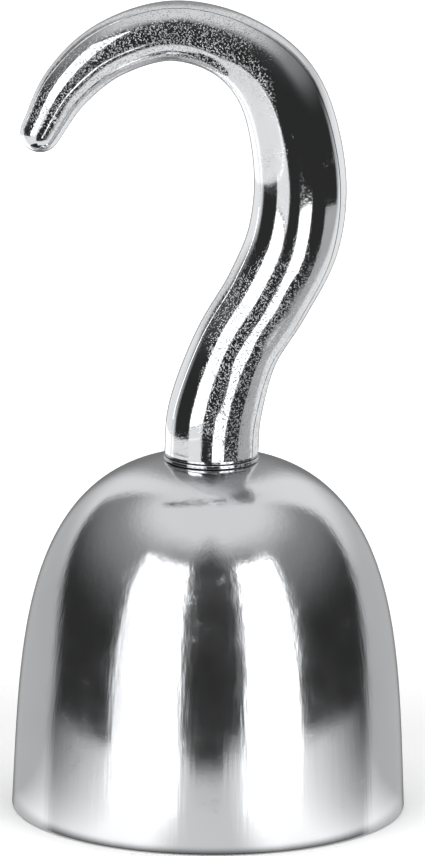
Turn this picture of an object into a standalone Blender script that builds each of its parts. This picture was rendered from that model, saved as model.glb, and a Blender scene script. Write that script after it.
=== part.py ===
"""Costume pirate hook: a bell-shaped hand cup, a hollow two-shell hook and the hand grip inside.

Frame: metres, +Z up along the cup's axis, origin at the middle of the open rim.
The hook bends in the XZ plane with its point towards -X. -Y is the front.
"""
import math

import bmesh
import bpy
from mathutils import Vector

GAP = 0.0003                  # between pieces that touch on the real object

# Cup: a superellipse bell with a little draft, open at the bottom
CUP_RADIUS = 0.057            # outside, at the rim
CUP_HEIGHT = 0.1039           # where the bell's curve would close on the axis
CUP_DRAFT = 0.073             # share of the radius lost between the rim and the top
CUP_SIDE_POWER = 3.7          # how long the side stays upright
CUP_CROWN_POWER = 2.585       # how flat the crown is
CUP_WALL = 0.0022
CUP_CROWN_WALL = 0.0024
CUP_RIM_ROUND = 0.0005
CUP_SEGMENTS = 48
CUP_STEPS = 15
SEAT_RADIUS = 0.0142          # flat ring on the crown that the hook turns on
BOSS_RADIUS = 0.0165          # flat underside of the crown for the washer
BOSS_STEP = 0.0004
CROWN_HOLE_RADIUS = 0.00835

# Plug that closes the foot of the hook and turns in the crown's hole
FLANGE_RADIUS = 0.0138
FLANGE_THICKNESS = 0.0010
PLUG_TOP_RADIUS = 0.0104
PLUG_BOTTOM_RADIUS = 0.0110
PLUG_DEPTH_IN_SHANK = 0.0095
SPIGOT_RADIUS = 0.0080
SPIGOT_STANDS_PROUD = 0.0004
PILOT_RADIUS = 0.0019
PILOT_END_BELOW_TOP = 0.0020
PLUG_SEGMENTS = 40

# Washer between the crown's underside and the grip
WASHER_RADIUS = 0.0150
WASHER_HOLE_RADIUS = 0.0023
WASHER_THICKNESS = 0.0015

# Grip: a T with its bar along Y
BAR_MIDDLE_Z = 0.052
BAR_LENGTH = 0.078
BAR_RADIUS = 0.0105
BAR_END_RADIUS = 0.0092
BAR_END_ROUND = 0.0035
STEM_RADIUS = 0.0070
STEM_TOP_RADIUS = 0.0095
STEM_FLARE_HEIGHT = 0.0080
STEM_CLEARANCE_HOLE = 0.0022
COUNTERBORE_RADIUS = 0.0043
COUNTERBORE_FLOOR_BELOW_TOP = 0.0080
GRIP_SEGMENTS = 32

# Screw and its washer, down in the counterbore
SCREW_RADIUS = 0.0016
SCREW_HEAD_RADIUS = 0.0036
SCREW_HEAD_HEIGHT = 0.0024
SCREW_END_BELOW_PILOT = 0.0010
SCREW_POINT_LENGTH = 0.0020
RECESS_RADIUS = 0.0013
RECESS_DEPTH = 0.0014
SCREW_WASHER_RADIUS = 0.0039
SCREW_WASHER_HOLE_RADIUS = 0.0020
SCREW_WASHER_THICKNESS = 0.0008
SCREW_SEGMENTS = 20

# Heights that follow from the sizes above, from the crown down
SEAT_Z = CUP_HEIGHT * (
    1 - (SEAT_RADIUS / (CUP_RADIUS * (1 - CUP_DRAFT))) ** CUP_CROWN_POWER
) ** (1 / CUP_SIDE_POWER)
FLANGE_Z = SEAT_Z + GAP
FOOT_Z = FLANGE_Z + FLANGE_THICKNESS + GAP
BOSS_Z = SEAT_Z - CUP_CROWN_WALL - 2 * BOSS_STEP
SPIGOT_END_Z = BOSS_Z - SPIGOT_STANDS_PROUD
WASHER_TOP_Z = SPIGOT_END_Z - GAP
STEM_TOP_Z = WASHER_TOP_Z - WASHER_THICKNESS - GAP
COUNTERBORE_FLOOR_Z = STEM_TOP_Z - COUNTERBORE_FLOOR_BELOW_TOP
SCREW_WASHER_TOP_Z = COUNTERBORE_FLOOR_Z - GAP
SCREW_HEAD_TOP_Z = SCREW_WASHER_TOP_Z - SCREW_WASHER_THICKNESS - GAP
PLUG_TOP_Z = FLANGE_Z + FLANGE_THICKNESS + PLUG_DEPTH_IN_SHANK
PILOT_END_Z = PLUG_TOP_Z - PILOT_END_BELOW_TOP

# Hook: stations along the centreline, as (x, z, outside radius)
HOOK_STATIONS = (
    (0.0000, FOOT_Z, 0.0136),
    (0.0010, 0.1175, 0.0135),
    (0.0068, 0.1361, 0.0125),
    (0.0161, 0.1524, 0.0127),
    (0.0234, 0.1697, 0.0134),
    (0.0246, 0.1900, 0.0132),
    (0.0190, 0.2115, 0.0121),
    (0.0060, 0.2247, 0.0098),
    (-0.0120, 0.2296, 0.0087),
    (-0.0297, 0.2242, 0.0082),
    (-0.0423, 0.2131, 0.0073),
    (-0.0500, 0.1994, 0.0058),
)
STEPS_PER_SPAN = 4
TIP_CAP_DEGREES = (18, 36, 54, 72)
HOOK_WALL = 0.0020
CAVITY_END_STEPS = 3          # the hollow stops this many steps before the tip's centre
PARTING_SHARE = 0.5           # parting line's distance ahead of the middle, in radii
BACK_ARC_STEPS = 16
FRONT_ARC_STEPS = 8


def clear_scene():
    """Remove what the new file holds."""
    for obj in list(bpy.data.objects):
        bpy.data.objects.remove(obj, do_unlink=True)


def material(name, colour, roughness, metallic):
    """Return a Principled material."""
    made = bpy.data.materials.new(name)
    made.use_nodes = True
    shader = made.node_tree.nodes["Principled BSDF"]
    shader.inputs["Base Color"].default_value = (*colour, 1.0)
    shader.inputs["Roughness"].default_value = roughness
    shader.inputs["Metallic"].default_value = metallic
    return made


def new_object(name, work, made_of, parent=None, smooth_angle=35):
    """Make a named object of a bmesh, with its normals out and its round faces smooth."""
    bmesh.ops.recalc_face_normals(work, faces=work.faces)
    mesh = bpy.data.meshes.new(name)
    work.to_mesh(mesh)
    work.free()
    mesh.shade_smooth()
    mesh.set_sharp_from_angle(angle=math.radians(smooth_angle))
    mesh.materials.append(made_of)
    obj = bpy.data.objects.new(name, mesh)
    bpy.context.collection.objects.link(obj)
    obj.parent = parent
    return obj


def lathe(profile, segments):
    """Turn a closed (radius, z) outline about Z. A radius of 0 becomes one point on the axis."""
    work = bmesh.new()
    rings = []
    for radius, z in profile:
        if radius == 0:
            rings.append([work.verts.new((0, 0, z))])
            continue
        ring = []
        for step in range(segments):
            turn = 2 * math.pi * step / segments
            ring.append(work.verts.new((radius * math.cos(turn), radius * math.sin(turn), z)))
        rings.append(ring)
    for here, there in zip(rings, rings[1:] + rings[:1]):
        if len(here) == 1 and len(there) == 1:
            continue
        for step in range(segments):
            after = (step + 1) % segments
            corners = [here[step % len(here)], here[after % len(here)]]
            corners += [there[after % len(there)], there[step % len(there)]]
            work.faces.new(list(dict.fromkeys(corners)))
    return work


def bell_curve(radius, height, first_radius, steps):
    """Return the bell's (radius, z) points from first_radius, near the top, down to the rim."""
    drafted = radius * (1 - CUP_DRAFT)
    start = math.acos((first_radius / drafted) ** (CUP_CROWN_POWER / 2))
    points = []
    for step in range(steps + 1):
        angle = start * (1 - step / steps)
        rise = math.sin(angle) ** (2 / CUP_SIDE_POWER)
        reach = math.cos(angle) ** (2 / CUP_CROWN_POWER)
        points.append((radius * (1 - CUP_DRAFT * rise) * reach, height * rise))
    return points


def make_cup(plating):
    """The bell: flat seat and hole on its crown, a flat ring for its rim."""
    inner_radius = CUP_RADIUS - CUP_WALL
    outside = bell_curve(CUP_RADIUS, CUP_HEIGHT, SEAT_RADIUS, CUP_STEPS)[:-1]
    inside = bell_curve(inner_radius, CUP_HEIGHT - CUP_CROWN_WALL, BOSS_RADIUS, CUP_STEPS)[:-1]
    rim = [
        (CUP_RADIUS, CUP_RIM_ROUND),
        (CUP_RADIUS - CUP_RIM_ROUND, 0),
        (inner_radius + CUP_RIM_ROUND, 0),
        (inner_radius, CUP_RIM_ROUND),
    ]
    profile = [(CROWN_HOLE_RADIUS, SEAT_Z)] + outside + rim + inside[::-1]
    profile += [(BOSS_RADIUS, BOSS_Z), (CROWN_HOLE_RADIUS, BOSS_Z)]
    return new_object("cup_shell", lathe(profile, CUP_SEGMENTS), plating)


def hook_point(span, share):
    """Catmull-Rom point and its direction between stations span and span + 1."""
    last = len(HOOK_STATIONS) - 1
    p0, p1, p2, p3 = (
        Vector(HOOK_STATIONS[min(max(i, 0), last)]) for i in range(span - 1, span + 3)
    )
    if span == 0:
        p0 = 2 * p1 - p2
    if span == last - 1:
        p3 = 2 * p2 - p1
    t = share
    point = 0.5 * (
        2 * p1 + (p2 - p0) * t + (2 * p0 - 5 * p1 + 4 * p2 - p3) * t**2
        + (3 * p1 - p0 - 3 * p2 + p3) * t**3
    )
    slope = 0.5 * (
        (p2 - p0) + 2 * (2 * p0 - 5 * p1 + 4 * p2 - p3) * t
        + 3 * (3 * p1 - p0 - 3 * p2 + p3) * t**2
    )
    return point, slope


def hook_frames():
    """Return (centre, along, outwards, radius) from the foot to the tip's last ring."""
    frames = []
    spans = len(HOOK_STATIONS) - 1
    for step in range(spans * STEPS_PER_SPAN + 1):
        span = min(step // STEPS_PER_SPAN, spans - 1)
        point, slope = hook_point(span, step / STEPS_PER_SPAN - span)
        along = Vector((slope.x, 0, slope.y)).normalized()
        if step == 0:
            along = Vector((0, 0, 1))
        outwards = Vector((along.z, 0, -along.x))
        frames.append((Vector((point.x, 0, point.y)), along, outwards, point.z))
    centre, along, outwards, radius = frames[-1]
    for degrees in TIP_CAP_DEGREES:
        turn = math.radians(degrees)
        frames.append((centre + along * radius * math.sin(turn), along, outwards, radius * math.cos(turn)))
    return frames


def arc(work, frame, radius, plane, steps, front):
    """Points round one section, from the parting plane's outer side to its inner side."""
    centre, _, outwards, _ = frame
    lean = math.asin(plane / radius)
    start, end = (lean, -math.pi - lean) if front else (lean, math.pi - lean)
    ring = []
    for step in range(steps + 1):
        turn = start + (end - start) * step / steps
        across = outwards * (radius * math.cos(turn)) + Vector((0, radius * math.sin(turn), 0))
        ring.append(work.verts.new(centre + across))
    return ring


def skin(work, rings):
    """Faces between each ring of points and the next."""
    for here, there in zip(rings, rings[1:]):
        for step in range(len(here) - 1):
            work.faces.new((here[step], here[step + 1], there[step + 1], there[step]))


def hook_shell(front, steps):
    """One shell of the hook: hollow, open at the foot, solid at the tip."""
    work = bmesh.new()
    frames = hook_frames()
    body = len(frames) - len(TIP_CAP_DEGREES) - CAVITY_END_STEPS
    side = -GAP / 2 if front else GAP / 2
    outer = []
    inner = []
    for number, frame in enumerate(frames):
        radius = frame[3]
        plane = side - PARTING_SHARE * radius
        outer.append(arc(work, frame, radius, plane, steps, front))
        if number < body:
            inner.append(arc(work, frame, radius - HOOK_WALL, plane, steps, front))
    skin(work, outer)
    skin(work, inner)
    for step in range(steps):
        work.faces.new((outer[0][step], outer[0][step + 1], inner[0][step + 1], inner[0][step]))
    for edge in (0, -1):
        for outer_pair, inner_pair in zip(zip(outer, outer[1:]), zip(inner, inner[1:])):
            corners = (outer_pair[0][edge], outer_pair[1][edge], inner_pair[1][edge], inner_pair[0][edge])
            work.faces.new(corners)
    work.faces.new(inner[-1])
    first, after = outer[body - 1], outer[body]
    work.faces.new((first[0], inner[-1][0], inner[-1][-1], first[-1], after[-1], after[0]))
    for here, there in zip(outer[body:], outer[body + 1:]):
        work.faces.new((here[0], here[-1], there[-1], there[0]))
    centre, along, _, _ = frames[-1 - len(TIP_CAP_DEGREES)]
    pole = work.verts.new(centre + along * frames[-1 - len(TIP_CAP_DEGREES)][3])
    for step in range(steps):
        work.faces.new((outer[-1][step], outer[-1][step + 1], pole))
    work.faces.new((outer[-1][0], outer[-1][-1], pole))
    return work


def make_plug(plating, pivot):
    """Closes the shank: a thin flange on the crown and a spigot down through its hole."""
    flange_top = FLANGE_Z + FLANGE_THICKNESS
    profile = [
        (0, PLUG_TOP_Z),
        (PLUG_TOP_RADIUS, PLUG_TOP_Z),
        (PLUG_BOTTOM_RADIUS, flange_top),
        (FLANGE_RADIUS, flange_top),
        (FLANGE_RADIUS, FLANGE_Z),
        (SPIGOT_RADIUS, FLANGE_Z),
        (SPIGOT_RADIUS, SPIGOT_END_Z),
        (PILOT_RADIUS, SPIGOT_END_Z),
        (PILOT_RADIUS, PILOT_END_Z),
        (0, PILOT_END_Z),
    ]
    return new_object("shank_plug", lathe(profile, PLUG_SEGMENTS), plating, pivot)


def ring_profile(hole_radius, radius, top, thickness):
    """Outline of a flat washer."""
    bottom = top - thickness
    return [(hole_radius, top), (radius, top), (radius, bottom), (hole_radius, bottom)]


def make_washers(steel, pivot):
    """The wide washer under the crown and the small one under the screw's head."""
    wide = ring_profile(WASHER_HOLE_RADIUS, WASHER_RADIUS, WASHER_TOP_Z, WASHER_THICKNESS)
    new_object("backing_washer", lathe(wide, PLUG_SEGMENTS), steel, pivot)
    small = ring_profile(
        SCREW_WASHER_HOLE_RADIUS, SCREW_WASHER_RADIUS, SCREW_WASHER_TOP_Z, SCREW_WASHER_THICKNESS
    )
    new_object("screw_washer", lathe(small, SCREW_SEGMENTS), steel, pivot)


def make_screw(steel, pivot):
    """Pan-head screw, head down, up through the grip and the washer into the plug."""
    end = PILOT_END_Z - SCREW_END_BELOW_PILOT
    head_bottom = SCREW_HEAD_TOP_Z - SCREW_HEAD_HEIGHT
    profile = [
        (0, end),
        (SCREW_RADIUS, end - SCREW_POINT_LENGTH),
        (SCREW_RADIUS, SCREW_HEAD_TOP_Z),
        (SCREW_HEAD_RADIUS, SCREW_HEAD_TOP_Z),
        (SCREW_HEAD_RADIUS, head_bottom + SCREW_HEAD_HEIGHT / 2),
        (0.72 * SCREW_HEAD_RADIUS, head_bottom),
        (RECESS_RADIUS, head_bottom),
        (0, head_bottom + RECESS_DEPTH),
    ]
    new_object("handle_screw", lathe(profile, SCREW_SEGMENTS), steel, pivot)


def bar_profile():
    """The bar's (radius, place along its length): fuller in the middle, with rounded ends."""
    half = BAR_LENGTH / 2
    straight = half - BAR_END_ROUND
    points = [(0, half)]
    for degrees in (70, 45, 20, 0):
        turn = math.radians(degrees)
        inset = BAR_END_ROUND * (1 - math.cos(turn))
        points.append((BAR_END_RADIUS - inset, straight + BAR_END_ROUND * math.sin(turn)))
    for share in (0.6, 0.2, -0.2, -0.6):
        swell = (BAR_RADIUS - BAR_END_RADIUS) * (1 - share**2)
        points.append((BAR_END_RADIUS + swell, share * straight))
    for degrees in (0, -20, -45, -70):
        turn = math.radians(degrees)
        inset = BAR_END_ROUND * (1 - math.cos(turn))
        points.append((BAR_END_RADIUS - inset, -straight + BAR_END_ROUND * math.sin(turn)))
    return points + [(0, -half)]


def cutter(name, work, parent):
    """A helper shape for a Boolean, kept out of the model."""
    obj = new_object(name, work, bpy.data.materials["grip_plastic"], parent)
    obj.hide_render = True
    obj.display_type = "WIRE"
    return obj


def combine(obj, other, operation):
    """Add a Boolean modifier."""
    modifier = obj.modifiers.new(other.name, "BOOLEAN")
    modifier.operation = operation
    modifier.solver = "EXACT"
    modifier.object = other


def make_grip(plastic, pivot):
    """T-shaped hand grip with a deep counterbore for the screw."""
    bar = lathe(bar_profile(), GRIP_SEGMENTS)
    for vert in bar.verts:
        x, y, z = vert.co
        vert.co = (x, z, y + BAR_MIDDLE_Z)
    grip = new_object("grip_handle", bar, plastic, pivot)
    stem = lathe(
        [
            (0, STEM_TOP_Z),
            (STEM_TOP_RADIUS, STEM_TOP_Z),
            (STEM_TOP_RADIUS, STEM_TOP_Z - STEM_FLARE_HEIGHT / 2),
            (STEM_RADIUS, STEM_TOP_Z - STEM_FLARE_HEIGHT),
            (STEM_RADIUS, BAR_MIDDLE_Z),
            (0, BAR_MIDDLE_Z),
        ],
        GRIP_SEGMENTS,
    )
    below = BAR_MIDDLE_Z - 2 * BAR_RADIUS
    above = STEM_TOP_Z + BAR_END_ROUND
    hole = lathe(
        [
            (0, above),
            (STEM_CLEARANCE_HOLE, above),
            (STEM_CLEARANCE_HOLE, COUNTERBORE_FLOOR_Z),
            (COUNTERBORE_RADIUS, COUNTERBORE_FLOOR_Z),
            (COUNTERBORE_RADIUS, below),
            (0, below),
        ],
        SCREW_SEGMENTS,
    )
    combine(grip, cutter("grip_stem_shape", stem, pivot), "UNION")
    combine(grip, cutter("grip_hole_shape", hole, pivot), "DIFFERENCE")


def main():
    """Build the hook from the cup up, then the grip inside it."""
    clear_scene()
    plating = material("bright_plating", (0.80, 0.80, 0.80), 0.08, 1.0)
    plastic = material("grip_plastic", (0.05, 0.05, 0.055), 0.45, 0.0)
    steel = material("zinc_steel", (0.62, 0.62, 0.60), 0.35, 1.0)
    pivot = bpy.data.objects.new("hook_turn_axis", None)
    bpy.context.collection.objects.link(pivot)
    make_cup(plating)
    new_object("hook_back_shell", hook_shell(False, BACK_ARC_STEPS), plating, pivot)
    new_object("hook_front_shell", hook_shell(True, FRONT_ARC_STEPS), plating, pivot)
    make_plug(plating, pivot)
    make_washers(steel, pivot)
    make_grip(plastic, pivot)
    make_screw(steel, pivot)


main()
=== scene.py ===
"""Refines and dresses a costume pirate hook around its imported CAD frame.

Every CAD node is replaced by a finer piece of the same size, in the same place, on the same body:
the bell-shaped hand cup, the two moulded shells of the hook, the plug that closes its foot, and the
T-shaped grip with its screw and washers inside the cup. Lengths are in metres unless a name says mm.
"""
import logging
import math
from dataclasses import dataclass
from enum import Enum
from typing import Any, Callable, Optional, Sequence

import bpy
from mathutils import Matrix, Vector


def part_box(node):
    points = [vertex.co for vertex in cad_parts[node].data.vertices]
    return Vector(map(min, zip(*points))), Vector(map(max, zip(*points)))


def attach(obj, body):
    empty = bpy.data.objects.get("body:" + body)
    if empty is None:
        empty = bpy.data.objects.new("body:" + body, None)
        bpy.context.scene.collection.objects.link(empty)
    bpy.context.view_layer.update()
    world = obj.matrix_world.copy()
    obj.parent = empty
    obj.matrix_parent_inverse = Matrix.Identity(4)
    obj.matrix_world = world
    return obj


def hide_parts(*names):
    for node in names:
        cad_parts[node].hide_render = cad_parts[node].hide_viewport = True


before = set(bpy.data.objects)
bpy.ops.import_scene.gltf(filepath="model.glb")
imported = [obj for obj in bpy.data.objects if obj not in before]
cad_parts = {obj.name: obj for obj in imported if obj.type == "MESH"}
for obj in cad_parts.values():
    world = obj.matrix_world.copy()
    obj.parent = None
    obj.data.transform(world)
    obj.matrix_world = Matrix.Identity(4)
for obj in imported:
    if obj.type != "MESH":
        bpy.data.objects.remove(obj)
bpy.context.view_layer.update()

LOG = logging.getLogger("pirate_hook")
Outline = list[tuple[float, float]]
Pair = tuple[float, float]
Inputs = dict[Any, Any]
Socket = bpy.types.NodeSocket
Tree = bpy.types.NodeTree
MM = 0.001
HOOK_SHELLS = ("hook_shell_back", "hook_shell_front")
CUP_RIM = 0.057                # radius of the cup's rim


class Body(Enum):
    """The CAD bodies a piece can ride on."""

    CUP = "cup"
    HOOK = "hook"


class Slot(Enum):
    """The record's material slots."""

    PLATING = "bright_plating"
    PLASTIC = "grip_plastic"
    STEEL = "zinc_steel"


class Turning(Enum):
    """The axis that an outline is spun about."""

    UPRIGHT = (0.0, 0.0, 1.0)
    CROSSWISE = (0.0, 1.0, 0.0)


class Shell(Enum):
    """The two mouldings of the hook, by the side of the parting line they lie on."""

    BACK = 1
    FRONT = -1


# ---------------------------------------------------------------- colour and nodes


def linear(hex_colour: str, alpha: float = 1.0) -> tuple[float, float, float, float]:
    """Turn an sRGB hex colour into the linear values a socket takes.

    Args:
        hex_colour: Six hex digits, with or without a leading #.
        alpha: The fourth value.

    Returns:
        Linear red, green, blue and alpha.
    """
    digits = hex_colour.lstrip("#")
    values = []
    for start in (0, 2, 4):
        share = int(digits[start:start + 2], 16) / 255
        values.append(share / 12.92 if share <= 0.04045 else ((share + 0.055) / 1.055) ** 2.4)
    return (values[0], values[1], values[2], alpha)


def add_node(
    tree: Tree,
    kind: str,
    inputs: Optional[Inputs] = None,
    **settings: Any,
) -> bpy.types.Node:
    """Add a node with its settings, values and links.

    Args:
        tree: The node tree to add to.
        kind: The node's type name, without its ShaderNode prefix.
        inputs: Socket name or number, and the value or the output socket that feeds it.
        settings: The node's own properties.

    Returns:
        The new node.
    """
    node = tree.nodes.new("ShaderNode" + kind)
    for name, value in settings.items():
        setattr(node, name, value)
    for key, value in (inputs or {}).items():
        if isinstance(value, Socket):
            tree.links.new(value, node.inputs[key])
        else:
            node.inputs[key].default_value = value
    return node


def bearing(tree: Tree, xyz: bpy.types.Node) -> Socket:
    """Work out the direction round the object: 0 towards the camera, positive to the right.

    Args:
        tree: The node tree to add to.
        xyz: A Separate XYZ node on a place or a direction.

    Returns:
        The bearing in degrees.
    """
    towards = add_node(tree, "Math", {0: xyz.outputs["Y"], 1: -1.0}, operation="MULTIPLY").outputs[0]
    turn = add_node(tree, "Math", {0: xyz.outputs["X"], 1: towards}, operation="ARCTAN2").outputs[0]
    return add_node(tree, "Math", {0: turn}, operation="DEGREES").outputs[0]


def off_axis(tree: Tree, place: Socket) -> Socket:
    """Measure how far a place is from the object's upright axis.

    Args:
        tree: The node tree to add to.
        place: The place as a vector.

    Returns:
        The distance.
    """
    flat = add_node(tree, "VectorMath", {0: place, 1: (1, 1, 0)}, operation="MULTIPLY").outputs[0]
    return add_node(tree, "VectorMath", {0: flat}, operation="LENGTH").outputs["Value"]


def added_light(tree: Tree, level: Socket) -> None:
    """Make a surface that adds its light to what lies behind it. What it isn't linked to sees through it.

    Args:
        tree: The material's tree.
        level: The light's strength.
    """
    light = add_node(tree, "Emission", {"Strength": level})
    clear = add_node(tree, "BsdfTransparent")
    both = add_node(tree, "AddShader", {0: clear.outputs[0], 1: light.outputs[0]})
    add_node(tree, "OutputMaterial", {"Surface": both.outputs[0]})


def new_material(name: str) -> tuple[bpy.types.Material, Tree]:
    """Make an empty node material.

    Args:
        name: The finish's name.

    Returns:
        The material and its tree.
    """
    material = bpy.data.materials.new(name)
    material.use_nodes = True
    material.node_tree.nodes.clear()
    return material, material.node_tree


# ---------------------------------------------------------------- finishes


@dataclass(frozen=True)
class VacuumPlating:
    """Vacuum-metallised ABS: moulded plastic under a mirror of aluminium and clear lacquer.

    To the eye it is a bright neutral mirror that shows the moulding under it: broad sink waviness,
    and in places a fine orange peel that breaks dark reflections into sparkle.
    """

    name: str = "vacuum_plated_abs"
    bright_hex: str = "#EEEFF1"
    shaded_hex: str = "#DFE1E4"
    smooth_roughness: float = 0.035
    hazy_roughness: float = 0.075
    wave_mm: float = 26.0          # sink waviness of a thin moulded wall
    wave_height_mm: float = 0.10
    streak_mm: float = 1.6         # lacquer runs down the wall: narrow across, long along Z
    streak_length_mm: float = 45.0
    streak_height_mm: float = 0.012
    patch_share: float = 0.35      # size of the hazy patches, in waves
    peel_mm: float = 0.48          # orange peel grain
    peel_height_mm: float = 0.13
    peel_floor: float = 0.04       # share of the peel that is everywhere
    peel_spots: float = 0.24       # share of the peel in scattered spots
    peel_least: float = 0.35       # share of the peel in the thinnest parts of a region
    peel_regions: tuple[tuple[tuple[str, float, float], ...], ...] = ()

    def region(self, tree: Tree, xyz: bpy.types.Node, limits: tuple) -> Socket:
        """Build one peel region as a product of soft steps.

        Args:
            tree: The material's tree.
            xyz: A Separate XYZ node on the object's coordinates.
            limits: Steps, each an axis letter, where it is off and where it is full, in millimetres.

        Returns:
            A socket that is 1 inside the region and 0 outside.
        """
        product = None
        for axis, off_mm, full_mm in limits:
            step = add_node(
                tree, "MapRange",
                {"Value": xyz.outputs[axis], "From Min": off_mm * MM, "From Max": full_mm * MM},
                interpolation_type="SMOOTHSTEP",
            ).outputs["Result"]
            if product is not None:
                step = add_node(tree, "Math", {0: product, 1: step}, operation="MULTIPLY").outputs[0]
            product = step
        return product

    def make(self) -> bpy.types.Material:
        """Build the finish.

        Returns:
            The finish as a material.
        """
        material, tree = new_material(self.name)
        place = add_node(tree, "TexCoord").outputs["Object"]
        xyz = add_node(tree, "SeparateXYZ", {0: place})
        waves = add_node(tree, "TexNoise", {"Vector": place, "Scale": 1 / (self.wave_mm * MM), "Detail": 1.0})
        waved = add_node(
            tree, "Bump", {"Height": waves.outputs[0], "Distance": self.wave_height_mm * MM, "Strength": 1.0}
        )
        squeezed = add_node(
            tree, "Mapping",
            {"Vector": place, "Scale": (1 / self.streak_mm, 1 / self.streak_mm, 1 / self.streak_length_mm)},
        )
        runs = add_node(tree, "TexNoise", {"Vector": squeezed.outputs[0], "Scale": 1 / MM, "Detail": 2.0})
        streaked = add_node(
            tree, "Bump",
            {"Height": runs.outputs[0], "Distance": self.streak_height_mm * MM, "Strength": 1.0,
             "Normal": waved.outputs[0]},
        )
        patch = self.wave_mm * self.patch_share * MM
        patches = add_node(tree, "TexNoise", {"Vector": place, "Scale": 1 / patch, "Detail": 3.0})
        amount = add_node(
            tree, "MapRange",
            {"Value": patches.outputs[0], "From Min": 0.60, "From Max": 0.72, "To Min": self.peel_floor,
             "To Max": self.peel_spots},
            interpolation_type="SMOOTHSTEP",
        ).outputs["Result"]
        uneven = add_node(
            tree, "MapRange",
            {"Value": patches.outputs[0], "From Min": 0.36, "From Max": 0.56, "To Min": self.peel_least},
        )
        for limits in self.peel_regions:
            spot = self.region(tree, xyz, limits)
            spot = add_node(tree, "Math", {0: spot, 1: uneven.outputs[0]}, operation="MULTIPLY").outputs[0]
            amount = add_node(tree, "Math", {0: amount, 1: spot}, operation="MAXIMUM").outputs[0]
        grains = add_node(
            tree, "TexNoise",
            {"Vector": place, "Scale": 1 / (self.peel_mm * MM), "Detail": 1.5, "Roughness": 0.55},
        )
        pimples = add_node(
            tree, "MapRange", {"Value": grains.outputs[0], "From Min": 0.54, "From Max": 0.72},
            interpolation_type="SMOOTHSTEP",
        )
        peeled = add_node(
            tree, "Bump",
            {"Height": pimples.outputs[0], "Distance": self.peel_height_mm * MM, "Strength": amount,
             "Normal": streaked.outputs[0]},
        )
        haze = add_node(
            tree, "MapRange",
            {"Value": patches.outputs[0], "From Min": 0.3, "From Max": 0.75, "To Min": self.smooth_roughness,
             "To Max": self.hazy_roughness},
        )
        colours = {0: waves.outputs[0], 6: linear(self.bright_hex), 7: linear(self.shaded_hex)}
        tone = add_node(tree, "Mix", colours, data_type="RGBA").outputs[2]
        shader = add_node(
            tree, "BsdfPrincipled",
            {"Base Color": tone, "Metallic": 1.0, "Roughness": haze.outputs[0],
             "Normal": peeled.outputs[0]},
        )
        add_node(tree, "OutputMaterial", {"Surface": shader.outputs[0]})
        return material


@dataclass(frozen=True)
class MouldedPlastic:
    """Moulded ABS in black, spark-eroded grain: an even satin with a faint glitter of grain."""

    name: str = "moulded_black_abs"
    deep_hex: str = "#1A1B1D"
    rubbed_hex: str = "#2B2C2F"
    roughness_low: float = 0.38
    roughness_high: float = 0.52
    grain_mm: float = 0.45
    grain_height_mm: float = 0.03
    rub_mm: float = 9.0
    parting_z: float = 0.052
    parting_width_mm: float = 0.35
    parting_height_mm: float = 0.12

    def make(self) -> bpy.types.Material:
        """Build the finish.

        Returns:
            The finish as a material.
        """
        material, tree = new_material(self.name)
        place = add_node(tree, "TexCoord").outputs["Object"]
        xyz = add_node(tree, "SeparateXYZ", {0: place})
        grain = add_node(
            tree, "TexNoise", {"Vector": place, "Scale": 1 / (self.grain_mm * MM), "Detail": 2.0}
        )
        rub = add_node(tree, "TexNoise", {"Vector": place, "Scale": 1 / (self.rub_mm * MM), "Detail": 3.0})
        off_line = add_node(tree, "Math", {0: xyz.outputs["Z"], 1: self.parting_z}, operation="SUBTRACT")
        off_line = add_node(tree, "Math", {0: off_line.outputs[0]}, operation="ABSOLUTE")
        ridge = add_node(
            tree, "MapRange",
            {"Value": off_line.outputs[0], "From Min": 0.0, "From Max": self.parting_width_mm * MM,
             "To Min": 1.0, "To Max": 0.0},
            interpolation_type="SMOOTHSTEP",
        )
        seamed = add_node(
            tree, "Bump",
            {"Height": ridge.outputs[0], "Distance": self.parting_height_mm * MM, "Strength": 1.0},
        )
        grained = add_node(
            tree, "Bump",
            {"Height": grain.outputs[0], "Distance": self.grain_height_mm * MM, "Strength": 0.8,
             "Normal": seamed.outputs[0]},
        )
        rough = add_node(
            tree, "MapRange",
            {"Value": rub.outputs[0], "From Min": 0.3, "From Max": 0.7, "To Min": self.roughness_low,
             "To Max": self.roughness_high},
        )
        colours = {0: rub.outputs[0], 6: linear(self.deep_hex), 7: linear(self.rubbed_hex)}
        tone = add_node(tree, "Mix", colours, data_type="RGBA").outputs[2]
        shader = add_node(
            tree, "BsdfPrincipled",
            {"Base Color": tone, "Roughness": rough.outputs[0], "IOR": 1.54,
             "Normal": grained.outputs[0]},
        )
        add_node(tree, "OutputMaterial", {"Surface": shader.outputs[0]})
        return material


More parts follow.
